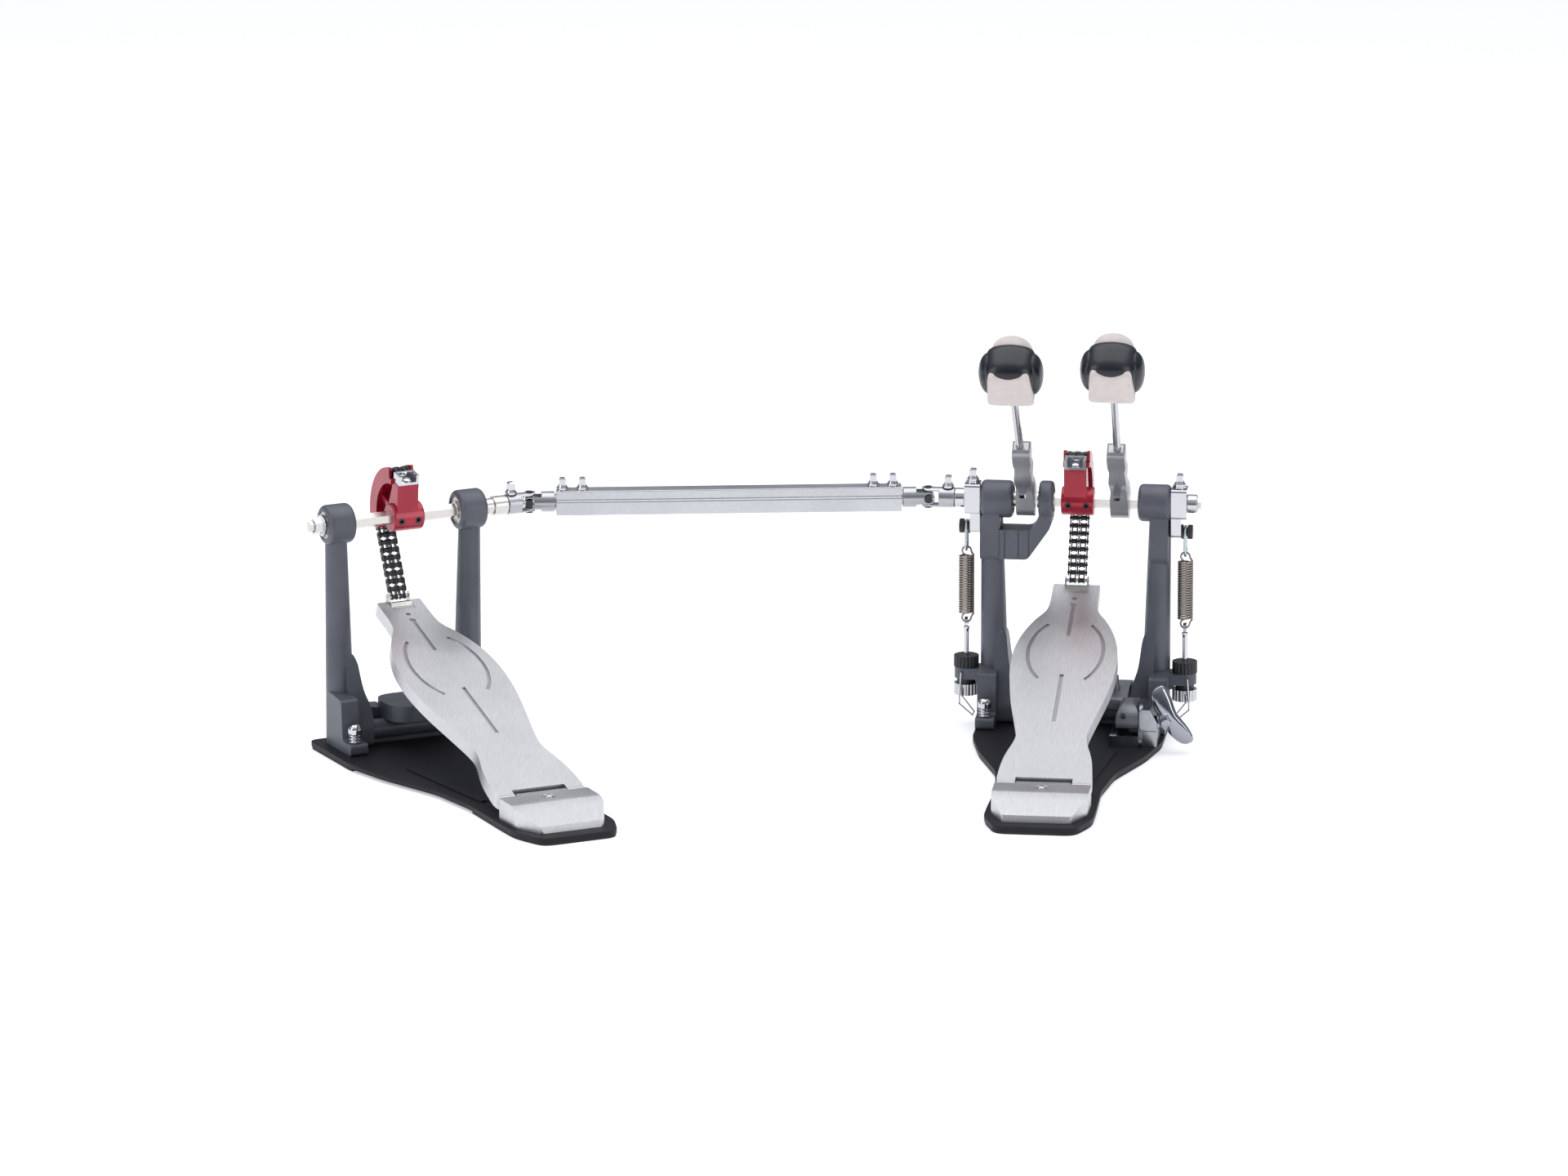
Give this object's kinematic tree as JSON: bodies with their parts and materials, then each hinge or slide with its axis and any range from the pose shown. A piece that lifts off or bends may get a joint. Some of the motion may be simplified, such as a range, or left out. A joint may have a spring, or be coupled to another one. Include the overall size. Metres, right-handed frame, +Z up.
{
  "type": "bass drum pedal",
  "caption": "Twin bass drum pedal: two sprung beaters on a main frame, a linked slave pedal turned inwards, chain cams, a jointed drive shaft and a hoop clamp.",
  "frame": {"origin": "on the floor under the middle of the main pedal's shaft", "axes": "+X along the main pedal's shaft to the drummer's right, +Y towards the drum, +Z up"},
  "size_m": [0.6967, 0.4507, 0.3409],
  "materials": {
    "base_black": "satin black powder coat",
    "pad_rubber": "matt black rubber",
    "slate_cast": "satin slate grey powder coat",
    "brushed_aluminium": "brushed",
    "steel": "plain steel",
    "shaft_steel": "ground steel",
    "knob_black": "black plastic",
    "chrome": "bright chrome",
    "clamp_chrome": "smoked chrome",
    "clamp_grey": "satin grey",
    "chain_black": "black oxide",
    "cam_red": "deep red anodised",
    "clamp_cast": "nickel plated casting",
    "beater_black": "semi-gloss black",
    "felt": "dense wool felt",
    "spring_steel": "oiled spring wire",
    "link_zinc": "zinc plated wire",
    "satin_steel": "satin nickel",
    "tube_aluminium": "satin anodised"
  },
  "bodies": {
    "frames": {"base_plates": "base_black", "base_pads": "pad_rubber", "right_posts": "slate_cast", "left_posts": "slate_cast", "right_cross_bar": "slate_cast", "left_cross_bar": "slate_cast", "outboard_arm": "slate_cast", "heel_plates": "brushed_aluminium", "frame_fasteners": "steel", "shaft_bearings": "steel", "adjuster_knobs": "knob_black", "spring_adjusters": "chrome", "anchor_spurs": "chrome", "hoop_clamp_base": "clamp_chrome"},
    "right_treadle": {"right_footboard": "brushed_aluminium", "right_toe_clevis": "steel"},
    "right_chain_lower": {"right_chain_run": "chain_black"},
    "right_chain_mid": {"right_chain_bend_a": "chain_black"},
    "right_chain_top": {"right_chain_bend_b": "chain_black"},
    "right_axle": {"right_hex_shaft": "shaft_steel", "right_cam": "cam_red", "right_cap_and_screws": "chrome", "right_chain_wrap": "chain_black", "right_beater_clamp": "clamp_cast", "right_beater_rod": "chrome", "right_beater_core": "beater_black", "right_beater_felt": "felt", "right_spring_lever": "chrome", "right_spring_roller": "knob_black"},
    "right_spring_foot": {"right_spring": "spring_steel"},
    "right_spring_head": {"right_spring_link": "link_zinc"},
    "centre_axle": {"centre_shaft": "shaft_steel", "centre_yoke": "satin_steel", "centre_cross": "chain_black", "centre_axle_screws": "chrome", "centre_beater_clamp": "clamp_cast", "centre_beater_rod": "chrome", "centre_beater_core": "beater_black", "centre_beater_felt": "felt", "centre_spring_lever": "chrome", "centre_spring_roller": "knob_black"},
    "centre_spring_foot": {"centre_spring": "spring_steel"},
    "centre_spring_head": {"centre_spring_link": "link_zinc"},
    "drive_shaft": {"drive_tube": "tube_aluminium", "drive_yokes": "satin_steel", "drive_clamp_bolts": "chrome"},
    "left_axle": {"left_hex_shaft": "shaft_steel", "left_cam": "cam_red", "left_cap_and_screws": "chrome", "left_chain_wrap": "chain_black", "left_yoke": "satin_steel", "left_cross": "chain_black"},
    "left_treadle": {"left_footboard": "brushed_aluminium", "left_toe_clevis": "steel"},
    "left_chain_lower": {"left_chain_run": "chain_black"},
    "left_chain_mid": {"left_chain_bend_a": "chain_black"},
    "left_chain_top": {"left_chain_bend_b": "chain_black"},
    "clamp_jaw": {"hoop_clamp_jaw": "clamp_grey"},
    "wing": {"wing_bolt": "chrome"}
  },
  "joints": [
    {"name": "right_axle_turn", "type": "hinge", "parent": "frames", "child": "right_axle", "pos_m": [0, 0, 0.185], "axis": [-1, 0, 0], "range_deg": [0, 45], "stiffness_Nm_per_rad": 1.5, "springref_deg": -14.32},
    {"name": "right_treadle_hinge", "type": "hinge", "parent": "frames", "child": "right_treadle", "pos_m": [0, -0.2614, 0.018], "axis": [-1, 0, 0], "range_deg": [0, 7.09]},
    {"name": "right_chain_toe_pin", "type": "hinge", "parent": "right_treadle", "child": "right_chain_lower", "pos_m": [0, 0.01, 0.117], "axis": [1, 0, 0], "range_deg": [0, 22.07]},
    {"name": "right_chain_pin_a", "type": "hinge", "parent": "right_chain_lower", "child": "right_chain_mid", "pos_m": [0, 0.03438, 0.16882], "axis": [1, 0, 0], "range_deg": [-14.38, 0]},
    {"name": "right_chain_pin_b", "type": "hinge", "parent": "right_chain_mid", "child": "right_chain_top", "pos_m": [0, 0.03793, 0.18736], "axis": [1, 0, 0], "range_deg": [-28.76, 0]},
    {"name": "centre_axle_turn", "type": "hinge", "parent": "frames", "child": "centre_axle", "pos_m": [-0.06, 0, 0.185], "axis": [-1, 0, 0], "range_deg": [0, 45], "stiffness_Nm_per_rad": 1.5, "springref_deg": -14.32},
    {"name": "drive_shaft_turn", "type": "hinge", "parent": "frames", "child": "drive_shaft", "pos_m": [-0.1186, 0, 0.185], "axis": [-0.9858, -0.1677, 0], "range_deg": [0, 44.59]},
    {"name": "left_axle_turn", "type": "hinge", "parent": "frames", "child": "left_axle", "pos_m": [-0.526, -0.1121, 0.185], "axis": [-0.8467, -0.5321, 0], "range_deg": [0, 46.86]},
    {"name": "left_treadle_hinge", "type": "hinge", "parent": "frames", "child": "left_treadle", "pos_m": [-0.3869, -0.33342, 0.018], "axis": [-0.8467, -0.5321, 0], "range_deg": [0, 7.35]},
    {"name": "left_chain_toe_pin", "type": "hinge", "parent": "left_treadle", "child": "left_chain_lower", "pos_m": [-0.53132, -0.10363, 0.117], "axis": [0.8467, 0.5321, 0], "range_deg": [0, 22.69]},
    {"name": "left_chain_pin_a", "type": "hinge", "parent": "left_chain_lower", "child": "left_chain_mid", "pos_m": [-0.5443, -0.08299, 0.16882], "axis": [0.8467, 0.5321, 0], "range_deg": [-14.38, 0]},
    {"name": "left_chain_pin_b", "type": "hinge", "parent": "left_chain_mid", "child": "left_chain_top", "pos_m": [-0.54618, -0.07999, 0.18736], "axis": [0.8467, 0.5321, 0], "range_deg": [-28.76, 0]},
    {"name": "right_spring_swing", "type": "hinge", "parent": "frames", "child": "right_spring_foot", "pos_m": [0.0876, 0, 0.0832], "axis": [1, 0, 0], "range_deg": [0, 10.77]},
    {"name": "right_spring_stretch", "type": "slide", "parent": "right_spring_foot", "child": "right_spring_head", "axis": [0, 0, 1], "range_m": [0, 0.00827], "deforming": ["right_spring"]},
    {"name": "centre_spring_swing", "type": "hinge", "parent": "frames", "child": "centre_spring_foot", "pos_m": [-0.0876, 0, 0.0832], "axis": [1, 0, 0], "range_deg": [0, 10.77]},
    {"name": "centre_spring_stretch", "type": "slide", "parent": "centre_spring_foot", "child": "centre_spring_head", "axis": [0, 0, 1], "range_m": [0, 0.00827], "deforming": ["centre_spring"]},
    {"name": "wing_bolt_turn", "type": "hinge", "parent": "frames", "child": "wing", "pos_m": [0.0595, -0.076, 0.016], "axis": [0.866, 0, 0.5], "range_deg": [-150, 450]},
    {"name": "hoop_jaw_pivot", "type": "hinge", "parent": "frames", "child": "clamp_jaw", "pos_m": [0.049, -0.056, 0.028], "axis": [1, 0, 0], "range_deg": [-1.6, 4.6]}
  ],
  "couplings": [
    {"joint": "right_treadle_hinge", "follows": "right_axle_turn", "ratio": 0.15752},
    {"joint": "right_chain_toe_pin", "follows": "right_axle_turn", "ratio": 0.49039},
    {"joint": "right_chain_pin_a", "follows": "right_axle_turn", "ratio": -0.31955},
    {"joint": "right_chain_pin_b", "follows": "right_axle_turn", "ratio": -0.63904},
    {"joint": "drive_shaft_turn", "follows": "centre_axle_turn", "ratio": 0.99092},
    {"joint": "left_axle_turn", "follows": "centre_axle_turn", "ratio": 1.0413},
    {"joint": "left_treadle_hinge", "follows": "centre_axle_turn", "ratio": 0.16341},
    {"joint": "left_chain_toe_pin", "follows": "centre_axle_turn", "ratio": 0.50422},
    {"joint": "left_chain_pin_a", "follows": "centre_axle_turn", "ratio": -0.3195},
    {"joint": "left_chain_pin_b", "follows": "centre_axle_turn", "ratio": -0.63904},
    {"joint": "right_spring_swing", "follows": "right_axle_turn", "ratio": 0.23923},
    {"joint": "right_spring_stretch", "follows": "right_axle_turn", "m_per_rad": 0.010528},
    {"joint": "centre_spring_swing", "follows": "centre_axle_turn", "ratio": 0.23923},
    {"joint": "centre_spring_stretch", "follows": "centre_axle_turn", "m_per_rad": 0.010528},
    {"joint": "hoop_jaw_pivot", "follows": "wing_bolt_turn", "ratio": 0.01}
  ]
}
